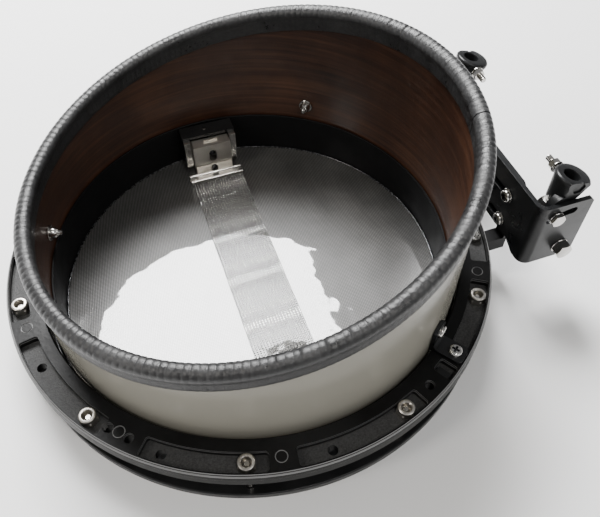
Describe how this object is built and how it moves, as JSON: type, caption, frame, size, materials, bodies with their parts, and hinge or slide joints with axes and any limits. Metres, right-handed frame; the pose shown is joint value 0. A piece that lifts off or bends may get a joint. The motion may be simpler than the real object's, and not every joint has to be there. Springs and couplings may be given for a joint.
{
  "type": "marching snare drum",
  "caption": "Marching snare drum with a high-tension lug ring, a slanted open end with a rubber guard, an under-head snare unit and a hook-rod carrier mount.",
  "frame": {"origin": "centre of the head's playing face", "axes": "+Z from the playing face to the open end, +X to the carrier mount, +Y to the visible end of the snare unit"},
  "size_m": [0.4703, 0.4166, 0.1925],
  "materials": {
    "stained_wood": "dark stained and lacquered",
    "gloss_wrap": "high gloss",
    "black_liner": "satin",
    "guard_rubber": "ribbed, slightly shiny",
    "head_film": "woven fibre under a glossy film",
    "black_cast": "black satin coat",
    "black_steel": "black satin coat",
    "chrome": "polished",
    "nickel": "satin nickel",
    "dark_screw": "black oxide",
    "wire_steel": "bright wire"
  },
  "bodies": {
    "drum": {"shell": "stained_wood", "outer_wrap": "gloss_wrap", "bearing_liner": "black_liner", "edge_guard": "guard_rubber", "batter_head": "head_film", "flesh_hoop": "black_cast", "counter_hoop": "black_cast", "lug_ring": "black_cast", "lug_nut_01": "nickel", "lug_nut_02": "nickel", "lug_nut_03": "nickel", "lug_nut_04": "nickel", "lug_nut_05": "nickel", "lug_nut_06": "nickel", "lug_nut_07": "nickel", "lug_nut_08": "nickel", "lug_nut_09": "nickel", "lug_nut_10": "nickel", "shell_brace_a": "black_steel", "brace_screw_a": "chrome", "shell_brace_b": "black_steel", "brace_screw_b": "chrome", "shell_brace_c": "black_steel", "brace_screw_c": "chrome", "carrier_plate": "black_steel", "arm_bolt_near": "chrome", "width_bolt_lower_near": "chrome", "width_bolt_upper_near": "chrome", "arm_bolt_far": "chrome", "width_bolt_lower_far": "chrome", "width_bolt_upper_far": "chrome", "strainer_bracket": "chrome", "strainer_lock_screw": "dark_screw", "butt_bracket": "chrome", "butt_lock_screw": "dark_screw"},
    "rod_01": {"tension_rod_01": "chrome"},
    "rod_02": {"tension_rod_02": "chrome"},
    "rod_03": {"tension_rod_03": "chrome"},
    "rod_04": {"tension_rod_04": "chrome"},
    "rod_05": {"tension_rod_05": "chrome"},
    "rod_06": {"tension_rod_06": "chrome"},
    "rod_07": {"tension_rod_07": "chrome"},
    "rod_08": {"tension_rod_08": "chrome"},
    "rod_09": {"tension_rod_09": "chrome"},
    "rod_10": {"tension_rod_10": "chrome"},
    "width_bracket_near": {"width_bracket_near": "black_steel", "pivot_bolt_near": "chrome"},
    "receiver_near": {"receiver_near": "black_cast", "tilt_bolt_near": "chrome", "lock_stud_near": "chrome"},
    "width_bracket_far": {"width_bracket_far": "black_steel", "pivot_bolt_far": "chrome"},
    "receiver_far": {"receiver_far": "black_cast", "tilt_bolt_far": "chrome", "lock_stud_far": "chrome"},
    "strainer_slide": {"strainer_slide_block": "nickel", "strainer_clamp": "nickel", "snare_wires": "wire_steel"},
    "butt_slide": {"butt_slide_block": "nickel", "butt_clamp": "nickel"}
  },
  "joints": [
    {"name": "rod_01_turn", "type": "hinge", "parent": "drum", "child": "rod_01", "pos_m": [0.1975, 0, 0.02], "axis": [0, 0, 1], "continuous": true},
    {"name": "rod_02_turn", "type": "hinge", "parent": "drum", "child": "rod_02", "pos_m": [0.15978, 0.11609, 0.02], "axis": [0, 0, 1], "continuous": true},
    {"name": "rod_03_turn", "type": "hinge", "parent": "drum", "child": "rod_03", "pos_m": [0.06103, 0.18783, 0.02], "axis": [0, 0, 1], "continuous": true},
    {"name": "rod_04_turn", "type": "hinge", "parent": "drum", "child": "rod_04", "pos_m": [-0.06103, 0.18783, 0.02], "axis": [0, 0, 1], "continuous": true},
    {"name": "rod_05_turn", "type": "hinge", "parent": "drum", "child": "rod_05", "pos_m": [-0.15978, 0.11609, 0.02], "axis": [0, 0, 1], "continuous": true},
    {"name": "rod_06_turn", "type": "hinge", "parent": "drum", "child": "rod_06", "pos_m": [-0.1975, 0, 0.02], "axis": [0, 0, 1], "continuous": true},
    {"name": "rod_07_turn", "type": "hinge", "parent": "drum", "child": "rod_07", "pos_m": [-0.15978, -0.11609, 0.02], "axis": [0, 0, 1], "continuous": true},
    {"name": "rod_08_turn", "type": "hinge", "parent": "drum", "child": "rod_08", "pos_m": [-0.06103, -0.18783, 0.02], "axis": [0, 0, 1], "continuous": true},
    {"name": "rod_09_turn", "type": "hinge", "parent": "drum", "child": "rod_09", "pos_m": [0.06103, -0.18783, 0.02], "axis": [0, 0, 1], "continuous": true},
    {"name": "rod_10_turn", "type": "hinge", "parent": "drum", "child": "rod_10", "pos_m": [0.15978, -0.11609, 0.02], "axis": [0, 0, 1], "continuous": true},
    {"name": "width_slide_near", "type": "slide", "parent": "drum", "child": "width_bracket_near", "axis": [0, -1, 0], "range_m": [0, 0.025]},
    {"name": "receiver_tilt_near", "type": "hinge", "parent": "width_bracket_near", "child": "receiver_near", "pos_m": [0.2465, -0.091, 0.051], "axis": [0, 1, 0], "range_deg": [-5, 20]},
    {"name": "width_slide_far", "type": "slide", "parent": "drum", "child": "width_bracket_far", "axis": [0, 1, 0], "range_m": [0, 0.025]},
    {"name": "receiver_tilt_far", "type": "hinge", "parent": "width_bracket_far", "child": "receiver_far", "pos_m": [0.2465, 0.091, 0.051], "axis": [0, 1, 0], "range_deg": [-5, 20]},
    {"name": "snare_lift", "type": "slide", "parent": "drum", "child": "strainer_slide", "axis": [0, 0, 1], "range_m": [0, 0.003]},
    {"name": "butt_lift", "type": "slide", "parent": "drum", "child": "butt_slide", "axis": [0, 0, 1], "range_m": [0, 0.003]}
  ],
  "couplings": [
    {"joint": "butt_lift", "follows": "snare_lift", "ratio": 1}
  ]
}
